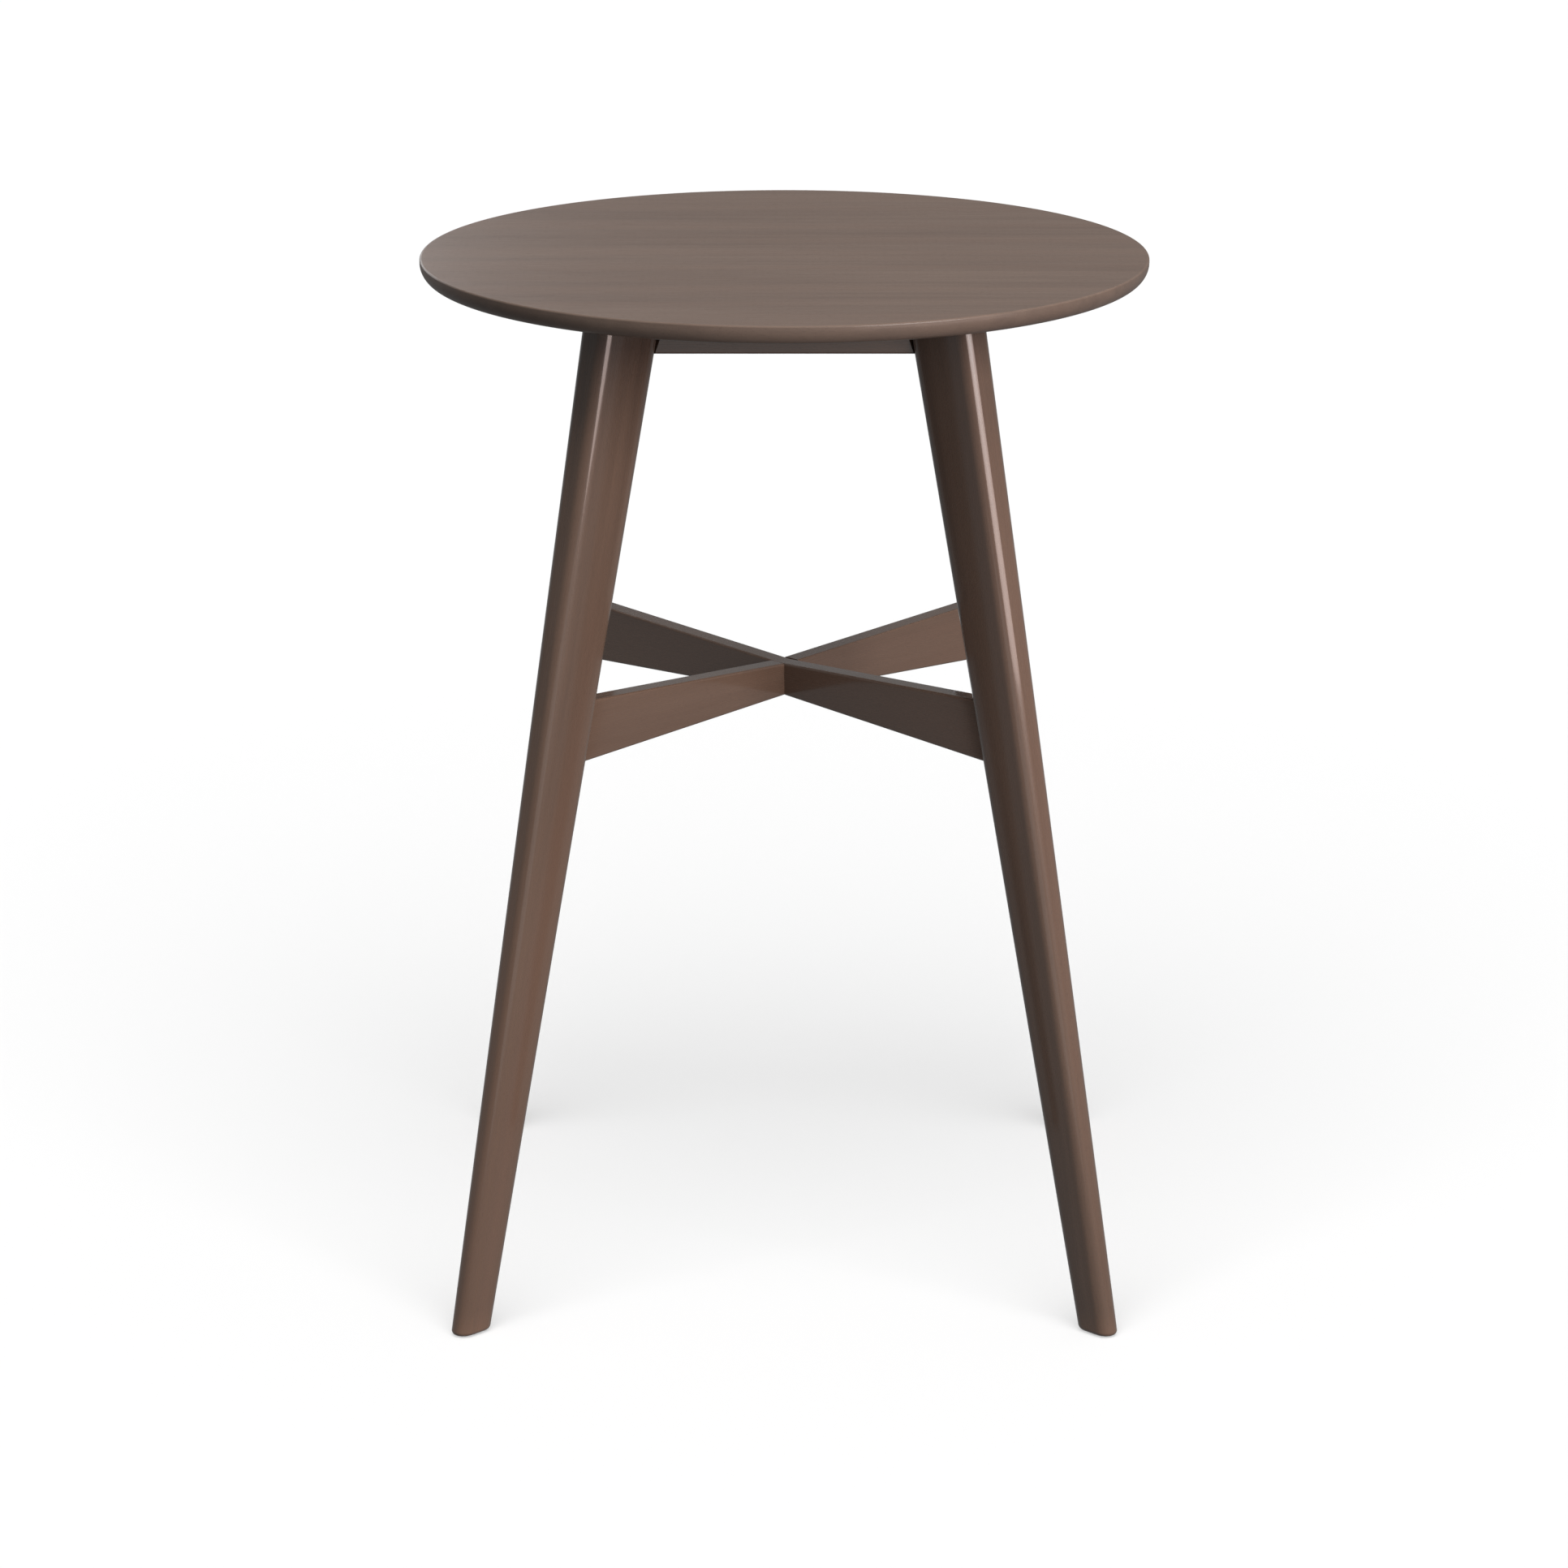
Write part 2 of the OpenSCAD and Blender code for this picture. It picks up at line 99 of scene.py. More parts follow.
def round_rectangle(corner_steps, wide_steps, narrow_steps):
    """Outline of a rectangle with round corners, for any size. A point is at
    sx * (half width - r) + r * cos a, sy * (half thickness - r) + r * sin a, where sx and sy stay
    at 1 or -1 round a corner and run between them along a side. Returns sx, sy, cos a, sin a."""
    signs = [(1, 1), (-1, 1), (-1, -1), (1, -1)]
    sx, sy, angle = [], [], []
    for quarter, (x, y) in enumerate(signs):
        next_x, next_y = signs[(quarter + 1) % 4]
        along = np.linspace(0, 1, (wide_steps, narrow_steps)[quarter % 2] + 1)[1:-1]
        turn = 90 * quarter + np.linspace(0, 90, corner_steps + 1)
        sx += [np.full(turn.size, x), x + (next_x - x) * along]
        sy += [np.full(turn.size, y), y + (next_y - y) * along]
        angle += [turn, np.full(along.size, 90.0 * (quarter + 1))]
    angle = np.radians(np.concatenate(angle))
    return np.concatenate(sx), np.concatenate(sy), np.cos(angle), np.sin(angle)


def turned(points, degrees):
    """The points turned about the upright axis through the table's middle."""
    c, s = math.cos(math.radians(degrees)), math.sin(math.radians(degrees))
    x, y, z = points[..., 0], points[..., 1], points[..., 2]
    return np.stack([c * x - s * y, s * x + c * y, z], axis=-1)


def with_ends(rows):
    """The rows of a tube with one more row at each end, drawn in to the end row's middle."""
    first = np.broadcast_to(rows[:1].mean(axis=1, keepdims=True), rows[:1].shape)
    last = np.broadcast_to(rows[-1:].mean(axis=1, keepdims=True), rows[-1:].shape)
    return np.concatenate([first, rows, last])


def skin(name, tubes, crease=35):
    """One mesh over one or more tubes, given as rows of points. Every point joins its neighbours
    in its row and in the next row, a row's end joins its start, and points that fall together
    become one. Edges sharper than crease degrees stay sharp."""
    points, faces, start = [], [], 0
    for rows in tubes:
        index = start + np.arange(rows.shape[0] * rows.shape[1]).reshape(rows.shape[:2])
        beside = np.roll(index, -1, axis=1)
        quads = np.stack([index[:-1], beside[:-1], beside[1:], index[1:]], axis=-1)
        points.append(rows.reshape(-1, 3))
        faces.append(quads.reshape(-1, 4))
        start += index.size
    mesh = bpy.data.meshes.new(name)
    mesh.from_pydata(np.concatenate(points).tolist(), [], np.concatenate(faces).tolist())
    work = bmesh.new()
    work.from_mesh(mesh)
    bmesh.ops.remove_doubles(work, verts=work.verts, dist=2e-6)
    bmesh.ops.recalc_face_normals(work, faces=work.faces)
    work.to_mesh(mesh)
    work.free()
    mesh.shade_smooth()
    mesh.set_sharp_from_angle(angle=math.radians(crease))
    piece = bpy.data.objects.new(name, mesh)
    bpy.context.scene.collection.objects.link(piece)
    return piece


def lathe(profile, sides):
    """Rows of a turned shape about the X axis: each (x, radius) pair of the profile becomes a
    circle. The radius may be an array with one value for each side."""
    around = np.linspace(0, 2 * math.pi, sides, endpoint=False)
    rows = [np.stack([np.full(sides, x), r * np.cos(around), r * np.sin(around)], axis=-1)
            for x, r in profile]
    return np.stack(rows)


def upright(points):
    """A turned shape stood up, from the X axis to the Z axis."""
    return points[..., [1, 2, 0]]


def bore(piece, tubes, crease=35):
    """Cuts the tubes out of the piece. Edges sharper than crease degrees stay sharp."""
    cutter = skin("cutter", tubes)
    cut = piece.modifiers.new("bore", "BOOLEAN")
    cut.operation = "DIFFERENCE"
    cut.solver = "EXACT"
    cut.object = cutter
    shaped = piece.evaluated_get(bpy.context.evaluated_depsgraph_get())
    mesh = bpy.data.meshes.new_from_object(shaped)
    piece.modifiers.remove(cut)
    old, piece.data = piece.data, mesh
    bpy.data.meshes.remove(old)
    mesh.name = piece.name
    bpy.data.meshes.remove(cutter.data)
    mesh.set_sharp_from_angle(angle=math.radians(crease))


def points_of(piece):
    """The places of a piece's points, as an array."""
    points = np.empty(len(piece.data.vertices) * 3, dtype=np.float32)
    piece.data.vertices.foreach_get("co", points)
    return points.reshape(-1, 3).astype(float)


def lay_grain(piece, along, across, through, wear_and_painted_light=0.0):
    """Stores where each point lies in the board it was cut from: metres along the grain, across
    the board's face and through its thickness. Also stores a share by which its colour pales:
    rubbed-away stain, and on the front legs painted light."""
    grain = np.stack([along, across, through], axis=-1).astype(np.float32)
    store = piece.data.attributes.new("grain", "FLOAT_VECTOR", "POINT")
    store.data.foreach_set("vector", grain.ravel())
    share = np.broadcast_to(np.float32(wear_and_painted_light), along.shape).astype(np.float32)
    store = piece.data.attributes.new("wear_and_painted_light", "FLOAT", "POINT")
    store.data.foreach_set("value", share.ravel())


def even_shading(piece):
    """Shades flat faces as flat right up to their rounded edges, by weighting each point's
    normal with the area of the faces round it."""
    even = piece.modifiers.new("even_normals", "WEIGHTED_NORMAL")
    even.keep_sharp = True


def node(tree, kind, inputs={}, **settings):
    """Adds a shader node. inputs holds socket values, or the sockets that feed them."""
    made = tree.nodes.new("ShaderNode" + kind)
    for key, value in settings.items():
        setattr(made, key, value)
    for key, value in inputs.items():
        if isinstance(value, bpy.types.NodeSocket):
            tree.links.new(value, made.inputs[key])
        else:
            made.inputs[key].default_value = value
    return made


def blank_material(name):
    """A new material, with its node tree and its main shader."""
    material = bpy.data.materials.new(name)
    material.use_nodes = True
    tree = material.node_tree
    return material, tree, tree.nodes["Principled BSDF"]


def turned_place(tree, degrees):
    """Object coordinates, turned so that their X axis runs along a piece's grain."""
    seen = node(tree, "TexCoord").outputs["Object"]
    turn = [math.radians(angle) for angle in degrees]
    return node(tree, "Mapping", {"Vector": seen, "Rotation": turn},
                vector_type="POINT").outputs["Vector"]


def streaks(tree, place, stretch, detail, distortion=0.0):
    """Noise drawn out along the grain: place times stretch, in waves to the metre."""
    scaled = node(tree, "Mapping", {"Vector": place, "Scale": stretch}, vector_type="POINT")
    return node(tree, "TexNoise", {"Vector": scaled.outputs["Vector"], "Scale": 1.0,
                                   "Detail": detail, "Roughness": 0.55,
                                   "Distortion": distortion}).outputs["Fac"]


def blend(tree, factor, first, second):
    """Colour that goes from first to second as factor goes from 0 to 1."""
    return node(tree, "Mix", {"Factor": factor, "A": first, "B": second},
                data_type="RGBA").outputs["Result"]


def remap(tree, value, low, high, to_low=0.0, to_high=1.0):
    """Value carried over from the range low to high to the range to_low to to_high."""
    return node(tree, "MapRange", {"Value": value, "From Min": low, "From Max": high,
                                   "To Min": to_low, "To Max": to_high}).outputs[0]


def scaled_sum(tree, value, scale, rest=0.0):
    """Value times scale, plus rest."""
    return node(tree, "Math", {0: value, 1: scale, 2: rest}, operation="MULTIPLY_ADD").outputs[0]


def add_relief(tree, shader, height, strength, distance):
    """Fine relief in the surface: height times distance, at the given strength."""
    bump = node(tree, "Bump", {"Height": height, "Strength": strength, "Distance": distance})
    tree.links.new(bump.outputs["Normal"], shader.inputs["Normal"])


def stained_wood(name, pale, deep, russet, place_turn=None, roughness=0.28, coat=1.0,
                 specular=0.3):
    """Close-grained wood under a walnut stain and a satin lacquer. Slow clouds of tone, growth
    streaks, fine fibres and short pores lie one over another along the grain. The place comes
    from the piece's grain attribute, or from Object coordinates turned by place_turn."""
    material, tree, shader = blank_material(name)
    if place_turn is None:
        place = node(tree, "Attribute", attribute_name="grain").outputs["Vector"]
    else:
        place = turned_place(tree, place_turn)
    clouds = streaks(tree, place, (1.6, 11, 11), 2.0)
    growth = streaks(tree, place, (2.2, 75, 75), 3.0, 0.35)
    fibres = streaks(tree, place, (22, 820, 820), 3.0)
    pores = streaks(tree, place, (150, 2300, 2300), 1.0)
    hue = streaks(tree, place, (1.1, 26, 26), 1.0)

    tone = scaled_sum(tree, clouds, 0.5)
    tone = scaled_sum(tree, growth, 0.55, tone)
    tone = scaled_sum(tree, fibres, 0.3, tone)
    colour = blend(tree, remap(tree, tone, 0.45, 0.9), (*pale, 1), (*deep, 1))
    colour = blend(tree, remap(tree, hue, 0.45, 0.7, 0, 0.55), colour, (*russet, 1))
    pit = remap(tree, pores, 0.6, 0.7, 0, 0.3)
    pit_colour = (deep[0] * 0.35, deep[1] * 0.3, deep[2] * 0.3, 1)
    colour = blend(tree, pit, colour, pit_colour)
    # Paler colour by the stored share: rubbed-away stain, and on the front legs painted light
    # towards the foot.
    wear_and_painted_light = node(tree, "Attribute", attribute_name="wear_and_painted_light").outputs["Fac"]
    wear_and_light_colour = (pale[0] * 1.7, pale[1] * 1.55, pale[2] * 1.4, 1)
    colour = blend(tree, scaled_sum(tree, wear_and_painted_light, growth), colour, wear_and_light_colour)
    tree.links.new(colour, shader.inputs["Base Color"])

    rough = remap(tree, fibres, 0.3, 0.7, roughness - 0.03, roughness + 0.04)
    tree.links.new(scaled_sum(tree, pit, 0.3, rough), shader.inputs["Roughness"])
    add_relief(tree, shader, scaled_sum(tree, pit, -2.0, fibres), 0.10, 0.0004)
    shader.inputs["IOR"].default_value = 1.45
    shader.inputs["Specular IOR Level"].default_value = specular
    shader.inputs["Coat Weight"].default_value = coat
    shader.inputs["Coat IOR"].default_value = 1.55
    shader.inputs["Coat Roughness"].default_value = 0.1
    return material


def mortise(start, end):
    """Round-ended upright slot along X between two distances from the middle, joint_gap wider
    all round than the stretcher's tenon."""
    sx, _, ca, sa = round_rectangle(10, 8, 2)
    r = tenon_thickness / 2 + joint_gap
    half_height = (mortise_high - mortise_low) / 2 + joint_gap
    z = (mortise_low + mortise_high) / 2 + sx * (half_height - r) + r * ca
    return with_ends(np.stack([np.stack([np.full(z.shape, x), r * sa, z], axis=-1)
                               for x in (start, end)]))


def leg_rows():
    """Rows of a leg in its diagonal plane, X outwards: level slices from the foot, whose first
    slices are drawn in along a quarter circle, up the straight taper to the head."""
    sx, sy, ca, sa = round_rectangle(12, 18, 6)
    ease = np.radians(np.linspace(0, 90, 9))
    straight = np.linspace(foot_z + foot_ease, head_z - seat_gap, 49)[1:]
    z = np.concatenate([foot_z + foot_ease * (1 - np.cos(ease)), straight])[:, None]
    inset = np.concatenate([foot_ease * (1 - np.sin(ease)), 0 * straight])[:, None]
    width = taper(foot_width, head_width, z) - 2 * inset
    thickness = taper(foot_thickness, head_thickness, z) - 2 * inset
    edge = long_edge - inset
    x = sx * (width / 2 - edge) + edge * ca
    y = sy * (thickness / 2 - edge) + edge * sa
    y = y * (1 - 2 * face_swell / thickness * (2 * x / width) ** 2)
    return with_ends(np.stack([leg_middle(z) + x, y, z + 0 * x], axis=-1))


# The legs' wood. Each is cut from its own place in the plank and its end is rubbed. The front
# legs carry painted light: their colour pales towards the foot, most on the front left leg, to
# stand in for the brighter light low on the legs. A leaning leg is longer than it is high.
walnut_pale = (0.081, 0.0497, 0.0352)
walnut_deep = (0.0496, 0.0302, 0.0214)
walnut_russet = (0.074, 0.042, 0.0298)
rubbed_height, rubbed_share = 0.012, 0.5
painted_light_share = {"front_left": 0.35, "front_right": 0.05, "back_right": 0.0, "back_left": 0.0}
painted_light_from, painted_light_span = 0.80, 0.45
length_to_height = 1.025

walnut = stained_wood("walnut_stained_frame", walnut_pale, walnut_deep, walnut_russet)
for index, (corner, turn) in enumerate(corner_turns.items()):
    leg = skin(corner + "_tapered_leg", [turned(leg_rows(), turn)])
    slot_start = leg_inner(cross_z) - tenon_length
    slot_end = leg_inner(cross_z) + tenon_length + end_gap
    cuts = [turned(mortise(slot_start, slot_end), turn)]
    for z in bolt_heights:
        insert_start = leg_inner(z) - insert_diameter / 2
        insert_end = leg_inner(z) + insert_sunk + insert_length
        hole = with_ends(lathe([(insert_start, insert_diameter / 2 + thread_gap),
                                (insert_end, insert_diameter / 2 + thread_gap),
                                (insert_end, bolt_bore),
                                (bolt_seat + bolt_length + end_gap, bolt_bore)], 40))
        cuts.append(turned(hole + (0, 0, z), turn))
    nail_hole = upright(lathe([(nail_hole_low, nail_bore), (nail_length + end_gap, nail_bore)],
                              20))
    cuts.append(turned(with_ends(nail_hole) + (leg_middle(0), 0, 0), turn))
    bore(leg, cuts)
    x, y, z = turned(points_of(leg), -turn).T
    # The foot end's rubbed stain, plus painted light: below 0.8 m the front legs' colour turns
    # paler towards the foot.
    wear_and_painted_light = rubbed_share * np.clip(1 - (z - foot_z) / rubbed_height, 0, 1)
    painted_light = painted_light_share[corner] * np.clip((painted_light_from - z) / painted_light_span, 0, 1)
    lay_grain(leg, length_to_height * z + 3.7 * index, x - leg_middle(z) + 0.09 + 0.31 * index,
              y + 0.05 + 0.17 * index, wear_and_painted_light + painted_light)
    even_shading(leg)
    leg.data.materials.append(walnut)
    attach(leg, "root")
    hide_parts("leg_" + corner)

# Stretcher: two boards of the same stained hardwood, set on edge and crossed. Each grows taller
# towards the legs, its shoulders are scribed to their round inner faces and its tenons are glued
# into them. The two boards are halved into each other at the crossing.
board_thickness = 0.021
board_edge = 0.0025
board_reach = leg_inner(cross_z)
board_flat = board_thickness / 2 - board_edge
lap_half = board_thickness / 2 + joint_gap
shoulder_bite = 0.00015
tenon_chamfer = 0.0015


def board_low(u):
    """Height of a board's lower edge at distance u out: it falls in proportion to u."""
    return cross_z - board_height / 2 - board_fall * u / board_reach


def board_high(u):
    """Height of a board's upper edge at distance u out: it rises in proportion to u."""
    return cross_z + board_height / 2 + board_rise * u / board_reach


def shoulder(v, z):
    """How far out a board's shoulder is, at v across it and height z. It goes shoulder_bite into
    the skin of the leg, whose flat middle lies at the inner face, and which falls back beyond
    the flat along the round of its edge."""
    thickness = taper(foot_thickness, head_thickness, z)
    v = np.abs(v) / (1 - 2 * face_swell / thickness)
    past = np.maximum(v - (thickness / 2 - long_edge), 0)
    return leg_inner(z) + long_edge - np.sqrt(long_edge ** 2 - past ** 2) + shoulder_bite


def stretcher_rows(open_up):
    """Rows of a board in its diagonal plane, X along it, from its height at each distance out.
    The last row before the tenon follows the leg's skin, and inside the lap the rows are held to
    the lower half of the board if it is open upwards, and else to the upper half."""
    sy, sx, sa, ca = round_rectangle(6, 10, 2)

    def section(u):
        """Point of the outline at distance u out, as (across, height)."""
        low, high = board_low(u), board_high(u)
        height = (low + high) / 2 + sy * ((high - low) / 2 - board_edge) + board_edge * sa
        return sx * board_flat + board_edge * ca, height

    def halved(z):
        """The height z, held to the half that the lap leaves."""
        return np.minimum(z, cross_z) if open_up else np.maximum(z, cross_z)

    # The shoulder's distance depends on the board's height there, which four rounds settle
    end = np.full(sx.shape, board_reach)
    for _ in range(4):
        v, z = section(end)
        end = shoulder(v, z)
    rows = []
    for u in (np.zeros(sx.shape), np.full(sx.shape, lap_half)):
        v, z = section(u)
        rows.append(np.stack([u, v, halved(z)], axis=-1))
    for part in np.linspace(0, 1, 25):
        u = lap_half + (end - lap_half) * part
        v, z = section(u)
        rows.append(np.stack([u, v, z], axis=-1))

    # The tenon, with a chamfer round its tip that takes a quarter as large a share off its height
    r = tenon_thickness / 2
    z = (mortise_low + mortise_high) / 2 + sy * ((mortise_high - mortise_low) / 2 - r) + r * sa
    tip = board_reach + tenon_length
    for u, share_off in ((shoulder(r * ca, z), 0), (tip - tenon_chamfer, 0),
                         (tip, tenon_chamfer / r)):
        height = cross_z + (z - cross_z) * (1 - share_off * 0.25)
        rows.append(np.stack([u + 0 * z, r * ca * (1 - share_off), height], axis=-1))
    arm = np.stack(rows)
    other = arm[:0:-1] * (-1, 1, 1)
    return with_ends(np.concatenate([other, arm]))


# The crossing screw's hole is countersunk from below. Each board is cut from its own place in
# the plank, and its stain is a little rubbed along its rounded edges.
screw_diameter, screw_length, screw_head = 0.004, 0.025, 0.0076
screw_cone = (screw_head - screw_diameter) / 2
screw_bore, head_bore = screw_diameter / 2 + thread_gap, screw_head / 2 + thread_gap
underside = board_low(0)
hole_low = -0.015
screw_hole = upright(lathe([(hole_low, head_bore), (0, head_bore), (screw_cone, screw_bore),
                            (screw_length + end_gap, screw_bore)], 40))
screw_hole = with_ends(screw_hole) + (0, 0, underside)
edge_rubbed_width, edge_rubbed_share = 0.0012, 0.25
for index, (which, turn, open_up) in enumerate([("lower", 225, True), ("upper", 315, False)]):
    board = skin(which + "_crossed_board", [turned(stretcher_rows(open_up), turn)])
    bore(board, [screw_hole])
    u, v, z = turned(points_of(board), -turn).T
    from_edge = np.minimum(board_high(np.abs(u)) - z, z - board_low(np.abs(u)))
    round_reach = np.hypot(np.maximum(board_edge - from_edge, 0),
                           np.maximum(np.abs(v) - board_flat, 0))
    on_round = np.clip(1 - np.abs(round_reach - board_edge) / edge_rubbed_width, 0, 1)
    lay_grain(board, u + 20.3 + 5.1 * index, z - cross_z + 0.11 + 0.37 * index, v + 0.07,
              on_round * edge_rubbed_share)
    even_shading(board)
    board.data.materials.append(walnut)
    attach(board, "root")
    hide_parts("stretcher_" + which + "_board")

# Crossing screw: one zinc-plated wood screw, driven from below through the lower board into the
# upper one. Its countersunk head lies level with the underside of the crossing.
screw_sides = 48
shank_radius, core_radius = 0.0019, 0.0013
screw_pitch, point_length = 0.0016, 0.004
thread_run_in = 0.0005
head_face_edge, head_rim_round, head_rim = 0.0004, 0.0001, 0.0003
recess_depth, crossing_thread_start = 0.0013, 0.008


def cross_outline(arm, half, sides):
    """Distance to the outline of a cross in every direction: to the end of an arm or to its
    side, whichever comes first."""
    around = np.linspace(0, 2 * math.pi, sides, endpoint=False)
    folded = np.abs((around + math.pi / 4) % (math.pi / 2) - math.pi / 4)
    return np.minimum(arm / np.cos(folded), half / np.maximum(np.sin(folded), 1e-6))


def cross_recess(outline, face, depth):
    """Profile of a cross recess that is sunk from face: a blunt point at depth, and steep walls
    from 1 mm down that widen by a tenth to the outline."""
    return [(face + depth, outline * 0.3), (face + 0.001, outline * 0.9), (face, outline)]


def threaded(start, end, outer, core, pitch, sides, point=0.0):
    """Rows of a thread about X: the radius swings between core and outer once a pitch along and
    once a turn, as a triangle wave. The wave grows and fades over one pitch at each end, and over
    the last stretch, as long as the point, the radius shrinks to a tip."""
    around = np.linspace(0, 1, sides, endpoint=False)
    x = np.arange(start, end + pitch / 12, pitch / 6)[:, None]
    wave = np.abs(2 * ((x / pitch - around) % 1) - 1)
    depth = np.clip(np.minimum(x - start, end - x) / pitch, 0, 1)
    radius = outer - (outer - core) * wave * depth
    if point:
        radius = radius * np.clip((end - x) / point, 0.06, 1)
    x = np.minimum(x, end)
    angle = 2 * math.pi * around
    return np.stack([x + 0 * radius, radius * np.cos(angle), radius * np.sin(angle)], axis=-1)


def wood_screw(head, thread_start, length):
    """Upright rows of a wood screw: the profile of its head, a plain shank and a pointed thread,
    as distances from where it is seated."""
    head_rows = lathe(head + [(thread_start - thread_run_in, shank_radius)], screw_sides)
    thread_rows = threaded(thread_start, length, screw_diameter / 2, core_radius, screw_pitch,
                           screw_sides, point_length)
    return upright(with_ends(np.concatenate([head_rows, thread_rows])))


def plated_metal(name, colour, tarnish, roughness):
    """Plated metal: a mirror-like base whose roughness and tone drift in small clouds, with fine
    turning marks in its relief."""
    material, tree, shader = blank_material(name)
    place = node(tree, "TexCoord").outputs["Object"]
    clouds = node(tree, "TexNoise", {"Vector": place, "Scale": 220.0, "Detail": 3.0}).outputs["Fac"]
    marks = node(tree, "TexNoise", {"Vector": place, "Scale": 2600.0, "Detail": 2.0}).outputs["Fac"]
    tree.links.new(blend(tree, clouds, (*colour, 1), (*tarnish, 1)), shader.inputs["Base Color"])
    matt = remap(tree, clouds, 0, 1, roughness - 0.08, roughness + 0.12)
    tree.links.new(matt, shader.inputs["Roughness"])
    add_relief(tree, shader, marks, 0.2, 0.00005)
    shader.inputs["Metallic"].default_value = 1.0
    return material


zinc = plated_metal("zinc_plated_steel", (0.66, 0.68, 0.70), (0.46, 0.46, 0.45), 0.28)
recess = cross_outline(screw_head * 0.30, screw_head * 0.07, screw_sides)
countersunk = cross_recess(recess, 0.0, recess_depth) + [
    (0.0, screw_head / 2 - head_face_edge), (head_rim_round, screw_head / 2 - head_rim_round),
    (head_rim, screw_head / 2 - head_rim_round), (screw_cone, shank_radius)]
screw_rows = wood_screw(countersunk, crossing_thread_start, screw_length)
screw = skin("crossing_wood_screw", [screw_rows + (0, 0, underside)])
screw.data.materials.append(zinc)
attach(screw, "root")
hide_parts("crossing_screw")

# Apron rails: four, of the same stained hardwood, mitred into a square frame that the top is
# screwed to. Their lower edges are softened and their outer corners are bevelled to the legs.
rail_turns = {"front": (0, 0, 0), "back": (0, 0, 0), "left": (0, 0, 90), "right": (0, 0, 90)}
for side, place_turn in rail_turns.items():
    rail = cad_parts["apron_rail_" + side]
    rail_wood = stained_wood("walnut_stained_" + side + "_rail", walnut_pale, walnut_deep,
                             walnut_russet, place_turn)
    rail.data.materials.clear()
    rail.data.materials.append(rail_wood)

# Corner blocks and dowels: pale hardwood, left unstained where nobody looks. A three-cornered
# block is glued and dowelled into each corner of the frame, and takes the pull of the leg bolts.


def raw_hardwood(name, place_turn):
    """Unstained wood as it comes off the planer: pale, matt, with soft growth streaks."""
    material, tree, shader = blank_material(name)
    place = turned_place(tree, place_turn)
    growth = streaks(tree, place, (4, 90, 90), 3.0, 0.5)
    flecks = streaks(tree, place, (90, 1300, 1300), 2.0)
    colour = blend(tree, growth, (0.52, 0.36, 0.21, 1), (0.36, 0.22, 0.12, 1))
    fleck = remap(tree, flecks, 0.58, 0.72, 0, 0.4)
    colour = blend(tree, fleck, colour, (0.25, 0.14, 0.07, 1))
    tree.links.new(colour, shader.inputs["Base Color"])
    tree.links.new(remap(tree, flecks, 0, 1, 0.6, 0.8), shader.inputs["Roughness"])
    add_relief(tree, shader, flecks, 0.25, 0.0003)
    return material


for corner, turn in corner_turns.items():
    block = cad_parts["corner_block_" + corner]
    block.data.materials.clear()
    block.data.materials.append(raw_hardwood("raw_block_" + corner, (0, 0, -turn - 90)))
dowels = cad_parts["block_dowels"]
dowels.data.materials.clear()
dowels.data.materials.append(raw_hardwood("raw_dowels", (0, 0, 90)))

# Threaded inserts: eight chamfered sleeves of brass. One is driven into each bolt bore of a leg,
# just under the leg's inner face, and a leg bolt screws into it.
brass = plated_metal("insert_brass", (0.72, 0.50, 0.20), (0.50, 0.33, 0.13), 0.3)
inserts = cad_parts["leg_inserts"]
inserts.data.materials.clear()
inserts.data.materials.append(brass)

# Leg bolts and washers: eight zinc-plated machine bolts with domed heads and hexagon sockets,
# each with a split spring washer on a flat washer. They run from inside the frame through a
# corner block into a leg.
bolt_sides = 48
bolt_head, bolt_head_height, dome_low = 0.014, 0.0044, 0.001
head_under_edge = [(0.0004, 0), (0.0001, 0.0002), (0, 0.0006)]
socket_width, socket_depth = 0.005, 0.0026
socket_tip_depth, socket_tip_radius = 0.0006, 0.0003
socket_floor_round, socket_mouth_round = 0.0002, 0.0003
plain_shank = 0.034
bolt_outer, bolt_core, bolt_thread_pitch = 0.00395, 0.0034, 0.00125
bolt_end_length, bolt_end_radius = 0.0006, 0.0032
washer_hole, washer_edge, washer_sides = 0.00425, 0.0003, 64
washer_outer, spring_outer = 0.008, 0.0072
spring_first, spring_last = 4, 352


def hexagon_outline(width, sides):
    """Distance to the outline of a hexagon in every direction."""
    around = np.linspace(0, 2 * math.pi, sides, endpoint=False)
    return width / 2 / np.cos((around + math.pi / 6) % (math.pi / 3) - math.pi / 6)


def at_bolts(tube):
    """The tube, drawn about X, at every leg bolt's axis."""
    return [turned(tube + (0, 0, z), turn) for turn in corner_turns.values() for z in bolt_heights]


def washer(outer, start, thickness, first=0, last=360):
    """Rows of a washer about X: a small rectangle with round corners carried round the axis,
    from the first angle to the last."""
    sx, sy, ca, sa = round_rectangle(3, 2, 2)
    half_breadth = (outer - washer_hole) / 2 - washer_edge
    radius = (washer_hole + outer) / 2 + sx * half_breadth + washer_edge * ca
    x = start + thickness / 2 + sy * (thickness / 2 - washer_edge) + washer_edge * sa
    angle = np.radians(np.linspace(first, last, washer_sides + 1))[:, None]
    return np.stack([x + 0 * angle, radius * np.cos(angle), radius * np.sin(angle)], axis=-1)


